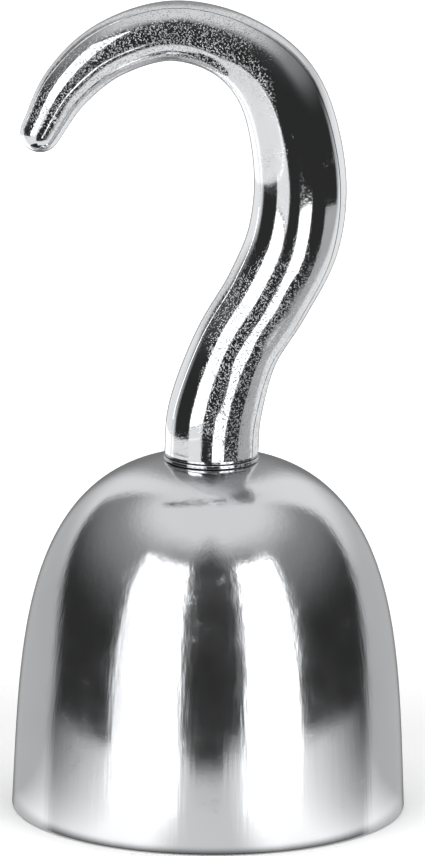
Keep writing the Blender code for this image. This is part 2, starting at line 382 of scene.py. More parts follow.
@dataclass(frozen=True)
class ZincPlatedSteel:
    """Zinc-plated steel: a cool grey metal, faintly cloudy from the bath, with fine turning lines."""

    name: str = "zinc_plated_steel"
    bright_hex: str = "#C8CACB"
    cloudy_hex: str = "#A9ACAE"
    roughness_low: float = 0.22
    roughness_high: float = 0.40
    cloud_mm: float = 3.0
    line_mm: float = 3.6           # wavelength of the turning lines
    line_height_mm: float = 0.006

    def make(self) -> bpy.types.Material:
        """Build the finish.

        Returns:
            The finish as a material.
        """
        material, tree = new_material(self.name)
        place = add_node(tree, "TexCoord").outputs["Object"]
        cloud = add_node(
            tree, "TexNoise", {"Vector": place, "Scale": 1 / (self.cloud_mm * MM), "Detail": 4.0}
        )
        rings = add_node(
            tree, "TexWave",
            {"Vector": place, "Scale": 1 / (self.line_mm * MM), "Distortion": 1.5, "Detail": 2.0},
            wave_type="RINGS", rings_direction="Z",
        )
        lined = add_node(
            tree, "Bump", {"Height": rings.outputs[0], "Distance": self.line_height_mm * MM, "Strength": 0.6}
        )
        rough = add_node(
            tree, "MapRange",
            {"Value": cloud.outputs[0], "From Min": 0.3, "From Max": 0.7, "To Min": self.roughness_low,
             "To Max": self.roughness_high},
        )
        colours = {0: cloud.outputs[0], 6: linear(self.bright_hex), 7: linear(self.cloudy_hex)}
        tone = add_node(tree, "Mix", colours, data_type="RGBA").outputs[2]
        shader = add_node(
            tree, "BsdfPrincipled",
            {"Base Color": tone, "Metallic": 1.0, "Roughness": rough.outputs[0],
             "Normal": lined.outputs[0]},
        )
        add_node(tree, "OutputMaterial", {"Surface": shader.outputs[0]})
        return material


# ---------------------------------------------------------------- modelling by hand


def select_only(*objects: bpy.types.Object) -> None:
    """Select these objects and no other, the first one active.

    Args:
        objects: None, one or more.
    """
    bpy.ops.object.select_all(action="DESELECT")
    for obj in objects:
        obj.select_set(True)
    if objects:
        bpy.context.view_layer.objects.active = objects[0]


def settle(name: str) -> bpy.types.Object:
    """Name the active object and bring its place into its mesh.

    Args:
        name: The name.

    Returns:
        The object.
    """
    obj = bpy.context.object
    obj.name = name
    obj.data.name = name
    bpy.ops.object.transform_apply(location=True, rotation=True, scale=True)
    return obj


def pick_points(obj: bpy.types.Object, test: Callable[[Vector], bool]) -> None:
    """Go into edit mode with some points selected and no other.

    Args:
        obj: The object.
        test: Says of a point's place whether it is selected.
    """
    select_only(obj)
    bpy.ops.object.mode_set(mode="EDIT")
    bpy.ops.mesh.select_all(action="DESELECT")
    bpy.ops.object.mode_set(mode="OBJECT")
    for vert in obj.data.vertices:
        vert.select = bool(test(vert.co))
    bpy.ops.object.mode_set(mode="EDIT")


def apply_modifier(obj: bpy.types.Object, kind: str, **settings: Any) -> None:
    """Add a modifier with its settings and apply it.

    Args:
        obj: The object to change.
        kind: The modifier's type.
        settings: Its properties.
    """
    select_only(obj)
    modifier = obj.modifiers.new(kind.lower(), kind)
    for name, value in settings.items():
        setattr(modifier, name, value)
    bpy.ops.object.modifier_apply(modifier=modifier.name)


def smooth(obj: bpy.types.Object, degrees: float = 32.0) -> None:
    """Shade smooth, with edges sharper than the angle left crisp.

    Args:
        obj: The object.
        degrees: The angle.
    """
    select_only(obj)
    bpy.ops.object.shade_smooth_by_angle(angle=math.radians(degrees))


def eased(outline: Outline, radius: float, steps: int = 4, least_degrees: float = 25.0) -> Outline:
    """Round the corners of an open outline.

    Args:
        outline: The (radius, height) points.
        radius: The rounding, shortened where a side is too short for it.
        steps: How many sides each rounding has.
        least_degrees: Bends smaller than this stay as they are.

    Returns:
        The outline with arcs in place of its corners.
    """
    made = [outline[0]]
    for before, corner, after in zip(outline, outline[1:], outline[2:]):
        here = Vector(corner)
        back, ahead = Vector(before) - here, Vector(after) - here
        bend = math.pi - back.angle(ahead)
        if math.degrees(bend) < least_degrees:
            made.append(corner)
            continue
        cut = min(radius * math.tan(bend / 2), back.length * 0.45, ahead.length * 0.45)
        start, end = here + back.normalized() * cut, here + ahead.normalized() * cut
        for step in range(steps + 1):
            share = step / steps
            point = start * (1 - share) ** 2 + here * (2 * share * (1 - share)) + end * share**2
            made.append((point.x, point.y))
    return made + [outline[-1]]


def chain(name: str, places: Sequence[Vector]) -> bpy.types.Object:
    """Extrude one point from place to place, and stay in edit mode with the whole chain selected.

    Args:
        name: The object's name.
        places: Where the points lie.

    Returns:
        The object.
    """
    select_only()
    bpy.ops.mesh.primitive_plane_add(size=MM, location=places[0])
    obj = settle(name)
    bpy.ops.object.mode_set(mode="EDIT")
    bpy.ops.mesh.select_all(action="SELECT")
    bpy.ops.mesh.merge(type="CENTER")
    for here, there in zip(places, places[1:]):
        bpy.ops.mesh.extrude_vertices_move(TRANSFORM_OT_translate={"value": there - here})
    bpy.ops.mesh.select_all(action="SELECT")
    return obj


def turned(
    name: str,
    outline: Outline,
    segments: int,
    axis: Turning = Turning.UPRIGHT,
    middle_z: float = 0.0,
) -> bpy.types.Object:
    """Extrude one point along an outline and spin the line into a closed solid.

    Args:
        name: The piece's name.
        outline: Points as (distance from the axis, place along it). Closed, or with both ends on the axis.
        segments: Steps of the spin.
        axis: The axis of the spin.
        middle_z: Height of a crosswise axis.

    Returns:
        The solid, with its faces outwards.
    """
    upright = axis is Turning.UPRIGHT
    places = [Vector((r, 0, along)) if upright else Vector((r, along, middle_z)) for r, along in outline]
    obj = chain(name, places)
    bpy.ops.mesh.spin(
        steps=segments, angle=2 * math.pi, center=(0, 0, 0 if upright else middle_z), axis=axis.value
    )
    bpy.ops.mesh.select_all(action="SELECT")
    bpy.ops.mesh.remove_doubles(threshold=2e-6)
    bpy.ops.mesh.normals_make_consistent(inside=False)
    bpy.ops.object.mode_set(mode="OBJECT")
    return obj


def ring_outline(hole: float, radius: float, top: float, bottom: float, edge: float) -> Outline:
    """Outline of a flat ring with eased edges, closed on the wall of its hole.

    Args:
        hole: Radius of the hole.
        radius: Radius of the ring.
        top: Height of its upper face.
        bottom: Height of its lower face.
        edge: The easing's radius.

    Returns:
        The closed outline.
    """
    middle = (top + bottom) / 2
    corners = [(hole, middle), (hole, top), (radius, top), (radius, bottom), (hole, bottom), (hole, middle)]
    return eased(corners, edge)


def cut_away(obj: bpy.types.Object, tool: bpy.types.Object, operation: str = "DIFFERENCE") -> None:
    """Combine a tool with an object by an exact Boolean, then throw the tool away.

    Args:
        obj: The object that stays.
        tool: The shape that is cut away or joined on.
        operation: The Boolean's own name for what it does.
    """
    apply_modifier(obj, "BOOLEAN", operation=operation, solver="EXACT", object=tool)
    bpy.data.objects.remove(tool, do_unlink=True)


def dress(obj: bpy.types.Object, *finishes: bpy.types.Material) -> None:
    """Give an object these finishes, the first one all over.

    Args:
        obj: The object.
        finishes: Its materials.
    """
    obj.data.materials.clear()
    for finish in finishes:
        obj.data.materials.append(finish)


def hand_over(obj: bpy.types.Object, body: Body, node: str) -> None:
    """Put a finished piece in the place of its CAD node.

    Args:
        obj: The finished piece.
        body: The body it rides on.
        node: The CAD node it replaces.
    """
    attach(obj, body.value)
    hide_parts(node)
    LOG.info("%s: %d faces on body %s", obj.name, len(obj.data.polygons), body.value)


# ---------------------------------------------------------------- the hand cup


@dataclass
class HandCup:
    """The bell-shaped cup: one thin moulded shell, open below, with a seat and a hole on its crown."""

    plating: bpy.types.Material
    dull_plating: bpy.types.Material
    radius: float = 0.057
    height: float = 0.1039
    draft: float = 0.073
    side_power: float = 3.7
    crown_power: float = 2.585
    wall: float = 0.0022
    crown_wall: float = 0.0024
    rim_round: float = 0.0009
    seat_radius: float = 0.0142
    boss_radius: float = 0.0165
    boss_step: float = 0.0004
    hole_radius: float = 0.00835
    steps: int = 64
    segments: int = 192

    def bell(self, radius: float, height: float, first_radius: float) -> Outline:
        """Return the bell's outline from near the top down to the rim.

        Args:
            radius: Radius at the rim.
            height: Height at which the curve would meet the axis.
            first_radius: Distance from the axis of the first point.

        Returns:
            The (radius, height) points.
        """
        start = math.acos((first_radius / (radius * (1 - self.draft))) ** (self.crown_power / 2))
        points = []
        for step in range(self.steps + 1):
            angle = start * (1 - step / self.steps)
            rise = math.sin(angle) ** (2 / self.side_power)
            reach = math.cos(angle) ** (2 / self.crown_power)
            points.append((radius * (1 - self.draft * rise) * reach, height * rise))
        return points

    def build(self) -> None:
        """Model the shell, give its inside the duller plating and hand it over."""
        seat_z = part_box("cup_shell")[1].z
        boss_z = seat_z - self.crown_wall - 2 * self.boss_step
        inner = self.radius - self.wall
        least = 1.2 * self.rim_round
        outside = [p for p in self.bell(self.radius, self.height, self.seat_radius) if p[1] > least]
        inside = self.bell(inner, self.height - self.crown_wall, self.boss_radius)
        inside = [p for p in inside if p[1] > least]
        rim = eased(
            [outside[-1], (self.radius, 0.0), ((self.radius + inner) / 2, 0.0), (inner, 0.0), inside[-1]],
            self.rim_round, steps=5,
        )
        crown = [(self.hole_radius, boss_z), (self.hole_radius, seat_z - 0.2 * MM),
                 (self.hole_radius + 0.2 * MM, seat_z)]
        outline = crown + outside[:-1] + rim + inside[-2::-1]
        outline += [(self.boss_radius, boss_z), (self.hole_radius, boss_z)]
        shell = turned("hand_cup_shell", outline, self.segments)
        dress(shell, self.plating, self.dull_plating)
        for face in shell.data.polygons:
            across = Vector((face.center.x, face.center.y, 0)).normalized().dot(face.normal)
            inner_side = across < 0.05 and face.normal.z <= 0.3
            face.material_index = int(inner_side and face.center.z > 1.5 * self.rim_round)
        smooth(shell)
        hand_over(shell, Body.CUP, "cup_shell")


# ---------------------------------------------------------------- the hook


@dataclass
class CurvedHook:
    """The hook: two thin moulded shells glued along a parting line, ahead of the middle on both sides."""

    plating: bpy.types.Material
    stations: tuple[tuple[float, float, float], ...] = (
        (0.0010, 0.1175, 0.0135),
        (0.0068, 0.1361, 0.0125),
        (0.0161, 0.1524, 0.0127),
        (0.0234, 0.1697, 0.0134),
        (0.0246, 0.1900, 0.0132),
        (0.0190, 0.2115, 0.0121),
        (0.0060, 0.2247, 0.0098),
        (-0.0120, 0.2296, 0.0087),
        (-0.0297, 0.2242, 0.0082),
        (-0.0423, 0.2131, 0.0073),
        (-0.0500, 0.1994, 0.0058),
    )
    foot_radius: float = 0.0136
    foot_round: float = 0.0003
    wall: float = 0.0020
    parting_share: float = 0.5     # how far ahead of the middle the parting line runs, in radii
    lip_width: float = 0.00016     # chamfer on each shell's edge, which shows as the parting line
    lip_depth: float = 0.00010
    lip_gap: float = 0.00003
    steps_per_span: int = 9
    cap_steps: int = 9
    segments: int = 144

    def stations_from_foot(self) -> list[Vector]:
        """Return the stations with the foot first, at the height that the CAD gives it."""
        foot_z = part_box("hook_back_shell")[0].z
        return [Vector((0.0, foot_z, self.foot_radius))] + [Vector(station) for station in self.stations]

    def point(self, stations: Sequence[Vector], span: int, t: float) -> tuple[Vector, Vector]:
        """Read the smooth curve through the stations.

        Args:
            stations: (x, z, radius) along the hook.
            span: Which stretch between two stations.
            t: Share of that stretch.

        Returns:
            The (x, z, radius) there, and its rate of change.
        """
        last = len(stations) - 1
        p0, p1, p2, p3 = (stations[min(max(i, 0), last)] for i in range(span - 1, span + 3))
        if span == 0:
            p0 = 2 * p1 - p2
        if span == last - 1:
            p3 = 2 * p2 - p1
        rise, turn = p2 - p0, 2 * p0 - 5 * p1 + 4 * p2 - p3
        twist = 3 * p1 - p0 - 3 * p2 + p3
        place = 0.5 * (2 * p1 + rise * t + turn * t**2 + twist * t**3)
        slope = 0.5 * (rise + 2 * turn * t + 3 * twist * t**2)
        return place, slope

    def rings(self) -> list[tuple[Vector, float, float]]:
        """Work out the hook's sections, from the foot to the tip's pole.

        Returns:
            Each section's centre, lean from upright and radius.
        """
        stations = self.stations_from_foot()
        spans = len(stations) - 1
        rings = []
        for step in range(spans * self.steps_per_span + 1):
            span = min(step // self.steps_per_span, spans - 1)
            place, slope = self.point(stations, span, step / self.steps_per_span - span)
            lean = math.atan2(slope.x, slope.y) if step else 0.0
            if rings and lean - rings[-1][1] > math.pi:
                lean -= 2 * math.pi
            rings.append((Vector((place.x, 0, place.y)), lean, place.z))
        foot, _, radius = rings[0]
        eases = ((0.0, 1.0), (0.3, 0.3), (1.0, 0.0))
        first = [(foot + Vector((0, 0, up * self.foot_round)), 0.0, radius - less * self.foot_round)
                 for up, less in eases]
        centre, lean, radius = rings[-1]
        along = Vector((math.sin(lean), 0, math.cos(lean)))
        cap = []
        for step in range(1, self.cap_steps + 1):
            turn = math.pi / 2 * step / self.cap_steps
            cap.append((centre + along * radius * math.sin(turn), lean, radius * math.cos(turn)))
        return first + rings[1:] + cap

    def shell(self, side: Shell, name: str) -> bpy.types.Object:
        """Extrude one shell's part of the circle, section by section, and give it its wall.

        Args:
            side: Which shell.
            name: The piece's name.

        Returns:
            The closed shell.
        """
        rings = self.rings()
        centre, _, radius = rings[0]
        select_only()
        bpy.ops.mesh.primitive_circle_add(vertices=self.segments, radius=radius, location=centre)
        obj = settle(name)
        edge_y = -self.parting_share * radius
        pick_points(obj, lambda place: (place.y - edge_y) * side.value < -1e-6)
        bpy.ops.mesh.delete(type="VERT")
        bpy.ops.object.mode_set(mode="OBJECT")
        self.lip(obj, side, centre, radius)
        bpy.ops.object.mode_set(mode="EDIT")
        bpy.ops.mesh.select_all(action="SELECT")
        for (start, lean, size), (end, next_lean, next_size) in zip(rings, rings[1:]):
            bpy.ops.mesh.extrude_region_move(TRANSFORM_OT_translate={"value": end - start})
            # With no window the rotate operator turns the other way, so its angle is negated.
            if abs(next_lean - lean) > 1e-9:
                bpy.ops.transform.rotate(
                    value=lean - next_lean, orient_axis="Y", orient_type="GLOBAL", center_override=end
                )
            share = max(next_size / size, 0.0)
            bpy.ops.transform.resize(value=(share, share, share), center_override=end)
            if next_size < 1e-7:
                break
        bpy.ops.mesh.select_all(action="SELECT")
        bpy.ops.mesh.remove_doubles(threshold=2e-6)
        bpy.ops.mesh.normals_make_consistent(inside=False)
        bpy.ops.object.mode_set(mode="OBJECT")
        low = min(obj.data.polygons, key=lambda face: face.center.z)
        if low.normal.dot(low.center - Vector((0, 0, low.center.z))) < 0:
            bpy.ops.object.mode_set(mode="EDIT")
            bpy.ops.mesh.select_all(action="SELECT")
            bpy.ops.mesh.flip_normals()
            bpy.ops.object.mode_set(mode="OBJECT")
        apply_modifier(obj, "SOLIDIFY", thickness=self.wall, offset=-1.0, use_even_offset=True, use_rim=True)
        return obj

    def lip(self, obj: bpy.types.Object, side: Shell, centre: Vector, radius: float) -> None:
        """Pull the arc's two ends back from the parting line and extrude a small chamfer from each.

        Args:
            obj: The arc.
            side: Which shell it is for.
            centre: Centre of the section.
            radius: Radius of the section.
        """
        edge_y = -self.parting_share * radius
        for sign in (1, -1):
            end = next(v.co for v in obj.data.vertices if abs(v.co.y - edge_y) < 1e-6 and v.co.x * sign > 0)
            end = end - centre
            tangent = Vector((-end.y, end.x, 0)).normalized()
            tangent *= 1 if tangent.y * side.value < 0 else -1
            back = -(self.lip_width + self.lip_gap) * tangent
            pick_points(obj, lambda place: (place - centre - end).length < 1e-6)
            bpy.ops.transform.translate(value=back)
            step = tangent * self.lip_width - end.normalized() * self.lip_depth
            bpy.ops.mesh.extrude_vertices_move(TRANSFORM_OT_translate={"value": step})
            bpy.ops.object.mode_set(mode="OBJECT")

    def build(self) -> None:
        """Model both shells and hand them over."""
        for side, name, node in (
            (Shell.BACK, "hook_shell_back", "hook_back_shell"),
            (Shell.FRONT, "hook_shell_front", "hook_front_shell"),
        ):
            shell = self.shell(side, name)
            dress(shell, self.plating)
            smooth(shell, 28)
            hand_over(shell, Body.HOOK, node)


@dataclass
class ShankPlug:
    """The plug glued into the hook's foot: a thin flange on the crown and a spigot through its hole."""

    plating: bpy.types.Material
    top_radius: float = 0.0104
    bottom_radius: float = 0.0110
    depth_in_shank: float = 0.0095
    flange_radius: float = 0.0138
    flange_thickness: float = 0.0010
    spigot_radius: float = 0.0080
    pilot_radius: float = 0.0019
    pilot_below_top: float = 0.0020
    edge: float = 0.00028
    segments: int = 112

    def build(self) -> None:
        """Model the plug and hand it over."""
        low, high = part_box("shank_plug")
        top, end = high.z, low.z
        flange_top = top - self.depth_in_shank
        flange_bottom = flange_top - self.flange_thickness
        pilot_end = top - self.pilot_below_top
        body = eased(
            [
                (0.0, top),
                (self.top_radius, top),
                (self.bottom_radius, flange_top),
                (self.flange_radius, flange_top),
                (self.flange_radius, flange_bottom),
                (self.spigot_radius, flange_bottom),
                (self.spigot_radius, end),
                (self.pilot_radius, end),
                (self.pilot_radius, pilot_end),
                (0.0, pilot_end),
            ],
            self.edge,
        )
        plug = turned("hook_foot_plug", body, self.segments)
        dress(plug, self.plating)
        smooth(plug)
        hand_over(plug, Body.HOOK, "shank_plug")


# ---------------------------------------------------------------- grip and fastening


@dataclass
class HandGrip:
    """The T-shaped grip held in the fist: a barrel-shaped bar on a stem, moulded in one."""

    plastic: bpy.types.Material
    bar_z: float = 0.052
    bar_radius: float = 0.0105
    bar_end_radius: float = 0.0092
    bar_end_round: float = 0.0035
    stem_radius: float = 0.0070
    stem_top_radius: float = 0.0095
    stem_flare: float = 0.0080
    clearance_radius: float = 0.0022
    counterbore_radius: float = 0.0043
    counterbore_below_top: float = 0.0080
    voxel: float = 0.0005
    segments: int = 96

    def bar_outline(self, half: float) -> Outline:
        """Return the bar's outline from one end to the other.

        Args:
            half: Half of the bar's length.

        Returns:
            Points as (distance from the bar's axis, place along it).
        """
        straight = half - self.bar_end_round
        shares = [1 - step / 12 for step in range(25)]
        middle = [
            (self.bar_end_radius + (self.bar_radius - self.bar_end_radius) * (1 - share**2), share * straight)
            for share in shares
        ]
        cap = []
        for step in range(1, 8):
            turn = math.pi / 2 * step / 8
            inset = self.bar_end_round * (1 - math.cos(turn))
            cap.append((self.bar_end_radius - inset, straight + self.bar_end_round * math.sin(turn)))
        flat = self.bar_end_radius - self.bar_end_round
        far = [(radius, -along) for radius, along in cap]
        return [(0.0, half), (flat, half)] + cap[::-1] + middle + far + [(flat, -half), (0.0, -half)]

    def build(self) -> None:
        """Model the grip: bar and stem joined, blended, then bored for the screw."""
        low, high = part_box("grip_handle")
        top = high.z
        flare_z = top - self.stem_flare
        grip = turned("hand_grip", self.bar_outline(high.y), self.segments, Turning.CROSSWISE, self.bar_z)
        stem = turned(
            "stem",
            [
                (0.0, top),
                (self.stem_top_radius, top),
                (self.stem_top_radius, top - self.stem_flare / 2),
                (self.stem_radius, flare_z),
                (self.stem_radius, self.bar_z),
                (0.0, self.bar_z),
            ],
            self.segments,
        )
        cut_away(grip, stem, "UNION")
        apply_modifier(grip, "REMESH", mode="VOXEL", voxel_size=self.voxel, use_smooth_shade=True)
        apply_modifier(grip, "SMOOTH", factor=0.5, iterations=12)
        floor = top - self.counterbore_below_top
        below = low.z - self.bar_radius
        bore = turned(
            "bore",
            [
                (0.0, below),
                (self.counterbore_radius, below),
                (self.counterbore_radius, floor),
                (self.clearance_radius, floor),
                (self.clearance_radius, top + self.bar_end_round),
                (0.0, top + self.bar_end_round),
            ],
            64,
        )
        cut_away(grip, bore)
        dress(grip, self.plastic)
        smooth(grip, 40)
        hand_over(grip, Body.HOOK, "grip_handle")


@dataclass
class GripFastening:
    """What holds grip, cup and hook together: a pan-head screw, its washer and a wide backing washer."""

    steel: bpy.types.Material
    wide_radius: float = 0.0150
    wide_hole: float = 0.0023
    small_radius: float = 0.0039
    small_hole: float = 0.0020
    head_radius: float = 0.0036
    head_height: float = 0.0024
    core_radius: float = 0.00122
    thread_radius: float = 0.0016
    pitch: float = 0.0013
    thread_turns: int = 13
    thread_steps: int = 28
    point_length: float = 0.0020
    recess_reach: float = 0.0017
    recess_width: float = 0.00062
    recess_depth: float = 0.0014
    segments: int = 80

    def washer(self, name: str, node: str, hole: float, radius: float) -> None:
        """Model a stamped washer in the place of its node and hand it over.

        Args:
            name: The piece's name.
            node: Its CAD node, which gives its heights.
            hole: Radius of the hole.
            radius: Radius of the washer.
        """
        low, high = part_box(node)
        ring = turned(name, ring_outline(hole, radius, high.z, low.z, 0.2 * MM), self.segments)
        dress(ring, self.steel)
        smooth(ring)
        hand_over(ring, Body.HOOK, node)

    def thread(self, bottom: float) -> bpy.types.Object:
        """Sweep a small tooth up a helix.

        Args:
            bottom: Height where the thread starts.

        Returns:
            The thread's ridge.
        """
        root = self.core_radius - 0.05 * MM
        places = [Vector((root, 0, bottom)), Vector((self.thread_radius, 0, bottom + 0.28 * self.pitch)),
                  Vector((root, 0, bottom + 0.56 * self.pitch))]
        ridge = chain("thread", places)
        bpy.ops.mesh.edge_face_add()
        bpy.ops.object.mode_set(mode="OBJECT")
        apply_modifier(
            ridge, "SCREW", axis="Z", angle=2 * math.pi, screw_offset=self.pitch,
            iterations=self.thread_turns, steps=self.thread_steps, render_steps=self.thread_steps,
        )
        return ridge

    def screw(self) -> None:
        """Model the screw, head down, with its cross recess, and hand it over."""
        low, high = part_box("handle_screw")
        under_head = low.z + self.head_height
        neck = high.z - self.point_length
        outline = [
            (0.0, high.z),
            (0.18 * MM, high.z - 0.1 * MM),
            (self.core_radius, neck),
            (self.core_radius, under_head + 0.1 * MM),
            (self.head_radius, under_head),
            (self.head_radius, low.z + 0.62 * self.head_height),
            (0.93 * self.head_radius, low.z + 0.30 * self.head_height),
            (0.74 * self.head_radius, low.z + 0.06 * self.head_height),
            (0.55 * self.head_radius, low.z),
            (0.0, low.z),
        ]
        screw = turned("grip_screw", eased(outline, 0.3 * MM), self.segments)
        for turn in (0.0, math.pi / 2):
            select_only()
            bpy.ops.mesh.primitive_cube_add(size=1.0, location=(0, 0, low.z), rotation=(0, 0, turn))
            slot = bpy.context.object
            slot.scale = (2 * self.recess_reach, self.recess_width, 2 * self.recess_depth)
            settle("slot")
            pick_points(slot, lambda place: place.z > low.z)
            bpy.ops.transform.resize(value=(0.45, 0.45, 1.0), center_override=(0, 0, low.z))
            bpy.ops.object.mode_set(mode="OBJECT")
            cut_away(screw, slot)
        ridge = self.thread(neck - self.thread_turns * self.pitch)
        select_only(screw, ridge)
        bpy.ops.object.join()
        dress(screw, self.steel)
        smooth(screw)
        hand_over(screw, Body.HOOK, "handle_screw")

    def build(self) -> None:
        """Model both washers and the screw."""
        self.washer("backing_plate_washer", "backing_washer", self.wide_hole, self.wide_radius)
        self.washer("screw_head_washer", "screw_washer", self.small_hole, self.small_radius)
        self.screw()


# ---------------------------------------------------------------- the studio


def link_to_hook(emitter: bpy.types.Object, only: bool) -> None:
    """Link a light to the hook's shells, as a flag or a screen would on a real stage.

    Args:
        emitter: The object that gives the light.
        only: True if it lights only the shells, False if it lights all but them.
    """
    linked = bpy.data.collections.new(emitter.name + "_pieces")
    for piece in HOOK_SHELLS:
        linked.objects.link(bpy.data.objects[piece])
    for entry in linked.collection_objects:
        entry.light_linking.link_state = "INCLUDE" if only else "EXCLUDE"
    emitter.light_linking.receiver_collection = linked


@dataclass(frozen=True)
class LightPanel:
    """A tall soft light, curved about the object, seen only in reflections and by what it lights."""

    name: str
    from_degrees: float            # bearings round the object
    to_degrees: float
    hook_only: bool = True         # False: it lights all but the hook's shells
    strength: float = 2.2
    distance: float = 1.5
    bottom: float = -0.60
    top: float = 1.46
    soft_degrees: float = 4.0
    soft_height: float = 0.14
    soft_foot: float = 0.02

    def glow(self) -> bpy.types.Material:
        """Build the panel's light, which fades towards its edges.

        Returns:
            The light as a material.
        """
        material, tree = new_material(self.name)
        xyz = add_node(tree, "SeparateXYZ", {0: add_node(tree, "TexCoord").outputs["Object"]})
        turn = bearing(tree, xyz)
        edges = (
            (turn, self.from_degrees, self.from_degrees + self.soft_degrees),
            (turn, self.to_degrees, self.to_degrees - self.soft_degrees),
            (xyz.outputs["Z"], self.top, self.top - self.soft_height),
            (xyz.outputs["Z"], self.bottom, self.bottom + self.soft_foot),
        )
        level: Any = self.strength
        for value, off, full in edges:
            step = add_node(
                tree, "MapRange", {"Value": value, "From Min": off, "From Max": full},
                interpolation_type="SMOOTHSTEP",
            )
            level = add_node(tree, "Math", {0: step.outputs[0], 1: level}, operation="MULTIPLY").outputs[0]
        added_light(tree, level)
        return material

    def build(self) -> None:
        """Model the panel as an upright strip of a wide circle."""
        select_only()
        bpy.ops.mesh.primitive_circle_add(vertices=720, radius=self.distance, location=(0, 0, self.bottom))
        panel = settle(self.name)
        low, high = math.radians(self.from_degrees), math.radians(self.to_degrees)
        pick_points(panel, lambda place: not low <= math.atan2(place.x, -place.y) <= high)
        bpy.ops.mesh.delete(type="VERT")
        bpy.ops.mesh.select_all(action="SELECT")
        bpy.ops.mesh.extrude_region_move(TRANSFORM_OT_translate={"value": (0, 0, self.top - self.bottom)})
        bpy.ops.object.mode_set(mode="OBJECT")
        dress(panel, self.glow())
        panel.visible_camera = False
        panel.visible_shadow = False
        link_to_hook(panel, self.hook_only)


@dataclass(frozen=True)
class PaintedTableReflection:
    """The table top that only reflections see: pale, brightest below the two lights.

    It reaches farthest to the right and least straight ahead, and it fades out round the sides. It is no lamp
    and nothing lights it: its whole glow is painted light, a painted reflection of the lit table, with
    painted shade in the middle between the two lights and a painted contact shadow round the rim.
    """

    radius: float = 0.32
    reach_ahead: float = 0.204
    reach_left: float = 0.250
    reach_right: float = 0.300
    reach_soft: float = 0.012
    ahead_degrees: Pair = (6.0, 12.0)      # where the short reach ends
    side_degrees: float = 30.0             # where the left and right reaches are full
    # Painted shade: the middle, between the two lights, glows only at middle_level; the sides below the
    # lights glow brighter at side_level as painted light.
    dark_degrees: Pair = (8.0, 24.0)       # where the darker middle ends
    fade_degrees: Pair = (40.0, 98.0)
    middle_level: float = 0.66
    side_level: float = 1.15
    # Painted shadow: the glow drops to shadow_level in a ring at the rim, a painted contact shadow.
    shadow_width: float = 0.009            # of the rim's contact shadow
    shadow_level: float = 0.05

    def glow(self, studio: "Studio") -> bpy.types.Material:
        """Return the table's light.

        Args:
            studio: Gives the patch under the cup, which keeps a glow of its own.

        Returns:
            The material.
        """
        material, tree = new_material("mirrored_table")
        place = add_node(tree, "TexCoord").outputs["Object"]
        turn = bearing(tree, add_node(tree, "SeparateXYZ", {0: place}))
        around = add_node(tree, "Math", {0: turn}, operation="ABSOLUTE").outputs[0]
        away = off_axis(tree, place)
        start, end = self.ahead_degrees
        off_centre = add_node(
            tree, "MapRange", {"Value": around, "From Min": start, "From Max": end},
            interpolation_type="SMOOTHSTEP",
        ).outputs[0]
        across = add_node(
            tree, "MapRange",
            {"Value": turn, "From Min": -self.side_degrees, "From Max": self.side_degrees,
             "To Min": self.reach_left, "To Max": self.reach_right},
        ).outputs[0]
        reach = add_node(tree, "Mix", {0: off_centre, 2: self.reach_ahead, 3: across}, data_type="FLOAT")
        left_over = add_node(tree, "Math", {0: reach.outputs[0], 1: away}, operation="SUBTRACT").outputs[0]
        past_rim = add_node(tree, "Math", {0: away, 1: CUP_RIM}, operation="SUBTRACT").outputs[0]
        rim_gap = add_node(tree, "Math", {0: past_rim}, operation="ABSOLUTE").outputs[0]
        # Painted light and shade: a dimmer middle, brighter sides below the lights, a fade round the sides, a
        # painted contact shadow at the rim, and the glowing patch under the cup.
        shares = (
            (around, self.dark_degrees, (self.middle_level, self.side_level), "SMOOTHSTEP", "MULTIPLY"),
            (around, self.fade_degrees, (1.0, 0.0), "LINEAR", "MULTIPLY"),
            (left_over, (0.0, self.reach_soft), (0.0, 1.0), "LINEAR", "MULTIPLY"),
            (rim_gap, (0.0, self.shadow_width), (self.shadow_level, 1.0), "SMOOTHSTEP", "MULTIPLY"),
            (away, studio.covered, (studio.under_cup_painted_glow, 0.0), "LINEAR", "MAXIMUM"),
        )
        level: Any = 1.0
        for value, (start, end), (low, high), ease, together in shares:
            share = add_node(
                tree, "MapRange",
                {"Value": value, "From Min": start, "From Max": end, "To Min": low, "To Max": high},
                interpolation_type=ease,
            )
            level = add_node(tree, "Math", {0: share.outputs[0], 1: level}, operation=together).outputs[0]
        added_light(tree, level)
        return material

    def build(self, studio: "Studio") -> None:
        """Lay the table just below the rim.

        Args:
            studio: Gives the patch under the cup.
        """
        select_only()
        bpy.ops.mesh.primitive_circle_add(
            vertices=180, radius=self.radius, fill_type="NGON", location=(0, 0, -0.1 * MM)
        )
        table = settle("mirrored_table")
        dress(table, self.glow(studio))
        table.visible_camera = table.visible_diffuse = False
        table.visible_shadow = table.visible_transmission = False
        link_to_hook(table, only=False)


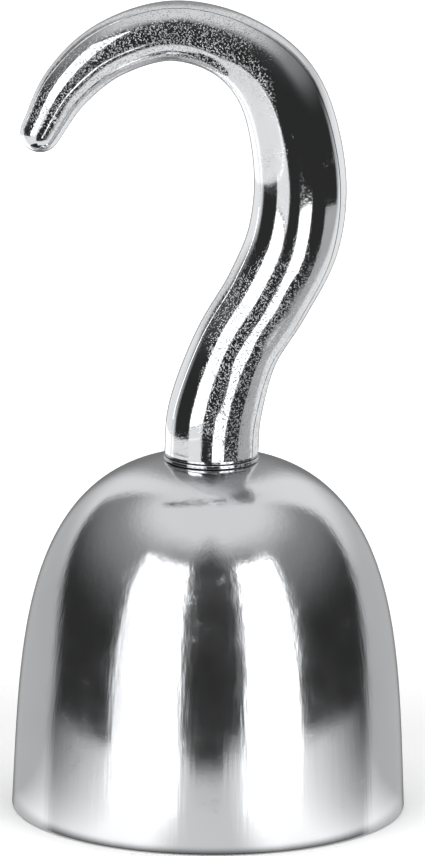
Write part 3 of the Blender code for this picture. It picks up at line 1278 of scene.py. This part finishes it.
@dataclass(frozen=True)
class Room:
    """The world: plain and pale to the camera, a dim studio with a pale back wall to the rest."""

    # Each side of the back wall: a height and the bearing where the wall starts there, low down and high up.
    left_edge: tuple[float, float, float, float] = (-5.0, 25.0, 108.0, 142.0)
    right_edge: tuple[float, float, float, float] = (-35.0, 30.0, 98.0, 130.0)
    edge_soft: Pair = (-5.0, 7.0)
    wall_heights: Pair = (2.0, 26.0)
    wall_levels: Pair = (0.50, 0.82)
    strip_degrees: Pair = (158.0, 172.0)    # a darker strip straight behind
    strip_level: float = 0.40
    front_heights: Pair = (8.0, 42.0)
    front_level: float = 0.028
    upper_degrees: Pair = (30.0, 66.0)
    upper_levels: Pair = (0.05, 0.26)
    ceiling_heights: Pair = (39.0, 67.0)
    ceiling_level: float = 0.78
    ceiling_dip: Pair = (18.0, 7.0)         # starts higher within this bearing, by so much

    def wall(self, tree: Tree, turn: Socket, lift: Socket) -> Socket:
        """Return where the back wall is: 1 on it, 0 off it.

        Args:
            tree: The world's tree.
            turn: The bearing.
            lift: The height as an angle.

        Returns:
            The wall's share.
        """
        left = add_node(tree, "Math", {0: turn, 1: -1.0}, operation="MULTIPLY").outputs[0]
        sides = []
        for around, (low_at, high_at, low, high) in ((left, self.left_edge), (turn, self.right_edge)):
            start = add_node(
                tree, "MapRange",
                {"Value": lift, "From Min": low_at, "From Max": high_at, "To Min": low, "To Max": high},
            ).outputs[0]
            past = add_node(tree, "Math", {0: around, 1: start}, operation="SUBTRACT").outputs[0]
            off, full = self.edge_soft
            side = add_node(
                tree, "MapRange", {"Value": past, "From Min": off, "From Max": full},
                interpolation_type="SMOOTHSTEP",
            )
            sides.append(side.outputs[0])
        return add_node(tree, "Math", {0: sides[0], 1: sides[1]}, operation="MAXIMUM").outputs[0]

    def build(self) -> None:
        """Set the world."""
        world = bpy.data.worlds.new("studio_room")
        bpy.context.scene.world = world
        world.use_nodes = True
        tree = world.node_tree
        tree.nodes.clear()
        xyz = add_node(tree, "SeparateXYZ", {0: add_node(tree, "TexCoord").outputs["Generated"]})
        turn = bearing(tree, xyz)
        lift = add_node(tree, "Math", {0: xyz.outputs["Z"]}, operation="ARCSINE").outputs[0]
        lift = add_node(tree, "Math", {0: lift}, operation="DEGREES").outputs[0]
        around = add_node(tree, "Math", {0: turn}, operation="ABSOLUTE").outputs[0]
        dip_width, dip = self.ceiling_dip
        later = add_node(
            tree, "MapRange",
            {"Value": around, "From Min": 0.0, "From Max": dip_width, "To Min": dip, "To Max": 0.0},
        ).outputs[0]
        sooner = add_node(tree, "Math", {0: lift, 1: later}, operation="SUBTRACT").outputs[0]
        start, end = self.upper_degrees
        low, high = self.upper_levels
        upper = add_node(
            tree, "MapRange",
            {"Value": around, "From Min": start, "From Max": end, "To Min": low, "To Max": high},
            interpolation_type="SMOOTHSTEP",
        ).outputs[0]
        levels = []
        for value, (start, end), (low, high) in (
            (lift, self.front_heights, (self.front_level, upper)),
            (lift, self.wall_heights, self.wall_levels),
            (around, self.strip_degrees, (1.0, self.strip_level)),
            (sooner, self.ceiling_heights, (0.0, 1.0)),
        ):
            level = add_node(
                tree, "MapRange",
                {"Value": value, "From Min": start, "From Max": end, "To Min": low, "To Max": high},
                interpolation_type="SMOOTHSTEP",
            )
            levels.append(level.outputs[0])
        front, behind, strip, ceiling = levels
        behind = add_node(tree, "Math", {0: behind, 1: strip}, operation="MULTIPLY").outputs[0]
        wall = self.wall(tree, turn, lift)
        camera_ray = add_node(tree, "LightPath").outputs["Is Camera Ray"]
        level = front
        for share, other in ((wall, behind), (ceiling, self.ceiling_level), (camera_ray, 1.0)):
            level = add_node(tree, "Mix", {0: share, 2: level, 3: other}, data_type="FLOAT").outputs[0]
        sky = add_node(tree, "Background", {"Color": linear("#FFFFFF"), "Strength": level})
        add_node(tree, "OutputWorld", {"Surface": sky.outputs[0]})


@dataclass(frozen=True)
class Studio:
    """The pale floor, the soft lights and the room that the bright plating mirrors."""

    floor_hex: str = "#F2F2F2"
    floor_glow: float = 0.12
    far_glow: float = 0.45         # keeps the floor as pale far off as it is under the lamp
    far: Pair = (0.10, 0.45)
    # Painted light: the floor under the cup glows, though it is no lamp, so that the cup's inside is lit when
    # seen from below.
    under_cup_painted_glow: float = 2.2      # of the patch that the cup covers, so that its inside shows from below
    covered: Pair = (0.050, 0.054)
    overhead_watts: float = 14.0
    room: Room = Room()
    table: PaintedTableReflection = PaintedTableReflection()
    panels: tuple[LightPanel, ...] = (
        LightPanel("left_light", -61.0, -16.0, hook_only=False, bottom=-0.30, top=1.58, soft_foot=0.14),
        LightPanel("right_light", 20.5, 57.5, hook_only=False, bottom=-0.30, top=1.58, soft_foot=0.14),
        LightPanel("left_hook_light", -61.0, -25.0, bottom=-0.06),
        LightPanel("left_hook_step", -61.0, -24.0, strength=0.85, bottom=-0.21, top=-0.05, soft_height=0.02),
        LightPanel(
            "back_left_screen", -160.0, -100.0, strength=0.42, bottom=-0.20, top=0.62, soft_degrees=8.0,
            soft_height=0.50,
        ),
        LightPanel(
            "back_right_screen", 100.0, 160.0, strength=0.42, bottom=-0.20, top=0.62, soft_degrees=8.0,
            soft_height=0.50,
        ),
        LightPanel(
            "low_front_screen", -30.0, 70.0, strength=0.85, distance=1.6, bottom=-4.0, top=-1.0,
            soft_height=0.40,
        ),
        LightPanel(
            "low_right_screen", 66.0, 160.0, strength=0.42, distance=1.6, bottom=-2.0, top=-0.20,
            soft_height=0.03,
        ),
        LightPanel("low_right_light", 0.0, 32.0, distance=1.4, top=-0.10, soft_height=0.03),
        LightPanel(
            "low_left_screen", -160.0, -24.0, strength=0.85, distance=1.6, bottom=-2.0, top=-0.20,
            soft_height=0.03,
        ),
    )

    def floor(self) -> None:
        """Lay the floor the camera sees. It is clear from below, so the object's underside shows."""
        select_only()
        bpy.ops.mesh.primitive_plane_add(size=40.0, location=(0, 0, -0.2 * MM))
        floor = settle("studio_floor")
        material, tree = new_material("pale_floor")
        side = add_node(tree, "NewGeometry").outputs["Backfacing"]
        away = off_axis(tree, add_node(tree, "TexCoord").outputs["Object"])
        glows = []
        # The first glow is painted light under the cup; the second keeps the floor evenly pale far off.
        for (start, end), low, high in (
            (self.covered, self.under_cup_painted_glow, self.floor_glow),
            (self.far, 0.0, self.far_glow),
        ):
            ramp = {"Value": away, "From Min": start, "From Max": end, "To Min": low, "To Max": high}
            glows.append(add_node(tree, "MapRange", ramp).outputs[0])
        glow = add_node(tree, "Math", {0: glows[0], 1: glows[1]}, operation="ADD")
        paint = add_node(
            tree, "BsdfPrincipled",
            {"Base Color": linear(self.floor_hex), "Roughness": 0.7, "Emission Color": linear("#FFFFFF"),
             "Emission Strength": glow.outputs[0]},
        )
        clear = add_node(tree, "BsdfTransparent")
        mixed = add_node(tree, "MixShader", {0: side, 1: paint.outputs[0], 2: clear.outputs[0]})
        add_node(tree, "OutputMaterial", {"Surface": mixed.outputs[0]})
        dress(floor, material)
        floor.visible_glossy = False

    def overhead(self) -> None:
        """Hang a wide lamp overhead that lights the matte surfaces only."""
        data = bpy.data.lights.new("overhead_lamp", "AREA")
        data.shape, data.size, data.energy = "DISK", 1.6, self.overhead_watts
        lamp = bpy.data.objects.new("overhead_lamp", data)
        lamp.location = (0.0, -0.2, 1.7)
        lamp.visible_camera = lamp.visible_glossy = False
        bpy.context.collection.objects.link(lamp)

    def build(self) -> None:
        """Set up the whole studio."""
        self.floor()
        self.table.build(self)
        for panel in self.panels:
            panel.build()
        self.overhead()
        self.room.build()
        bpy.context.scene.view_settings.view_transform = "Standard"


@dataclass(frozen=True)
class StudioCamera:
    """The camera: far away with a long lens, a little above the object."""

    distance: float = 4.0
    elevation_degrees: float = 14.0
    target: tuple[float, float, float] = (0.0003, 0.0, 0.1122)
    roll_degrees: float = 0.53
    lens_mm: float = 582.0
    sensor_mm: float = 36.0

    def build(self) -> None:
        """Place the camera and make it the scene's."""
        data = bpy.data.cameras.new("studio_camera")
        data.lens, data.sensor_width = self.lens_mm, self.sensor_mm
        data.clip_start, data.clip_end = 0.1, 60.0
        camera = bpy.data.objects.new("studio_camera", data)
        lift = math.radians(self.elevation_degrees)
        back = Vector((0, -math.cos(lift), math.sin(lift)))
        camera.location = Vector(self.target) + back * self.distance
        facing = (-back).to_track_quat("-Z", "Y").to_matrix().to_4x4()
        roll = Matrix.Rotation(math.radians(self.roll_degrees), 4, "Z")
        camera.rotation_euler = (facing @ roll).to_euler()
        bpy.context.collection.objects.link(camera)
        bpy.context.scene.camera = camera


# ---------------------------------------------------------------- putting it together


def main() -> None:
    """Build every sub-assembly, the studio and the camera."""
    logging.basicConfig(level=logging.INFO, format="%(message)s")
    hook_plating = VacuumPlating(
        name="vacuum_plated_hook",
        wave_height_mm=0.05,
        peel_regions=(
            (("Z", 196.0, 214.0), ("X", 24.0, 2.0)),
            (("Z", 176.0, 142.0), ("X", -7.0, 7.0)),
        ),
    ).make()
    cup_plating = VacuumPlating(
        name="vacuum_plated_cup", smooth_roughness=0.11, hazy_roughness=0.18, wave_height_mm=0.16,
        streak_height_mm=0.035, peel_floor=0.03, peel_spots=0.18,
    ).make()
    dull_plating = VacuumPlating(
        name="thin_plated_inside", bright_hex="#B9BBBE", shaded_hex="#9DA0A4", smooth_roughness=0.24,
        hazy_roughness=0.38, peel_height_mm=0.0,
    ).make()
    plastic = MouldedPlastic().make()
    steel = ZincPlatedSteel().make()

    sub_assemblies = (
        HandCup(cup_plating, dull_plating),
        CurvedHook(hook_plating),
        ShankPlug(hook_plating),
        HandGrip(plastic),
        GripFastening(steel),
        Studio(),
        StudioCamera(),
    )
    for sub_assembly in sub_assemblies:
        sub_assembly.build()
        LOG.info("built %s", type(sub_assembly).__name__)


if __name__ == "__main__":
    main()
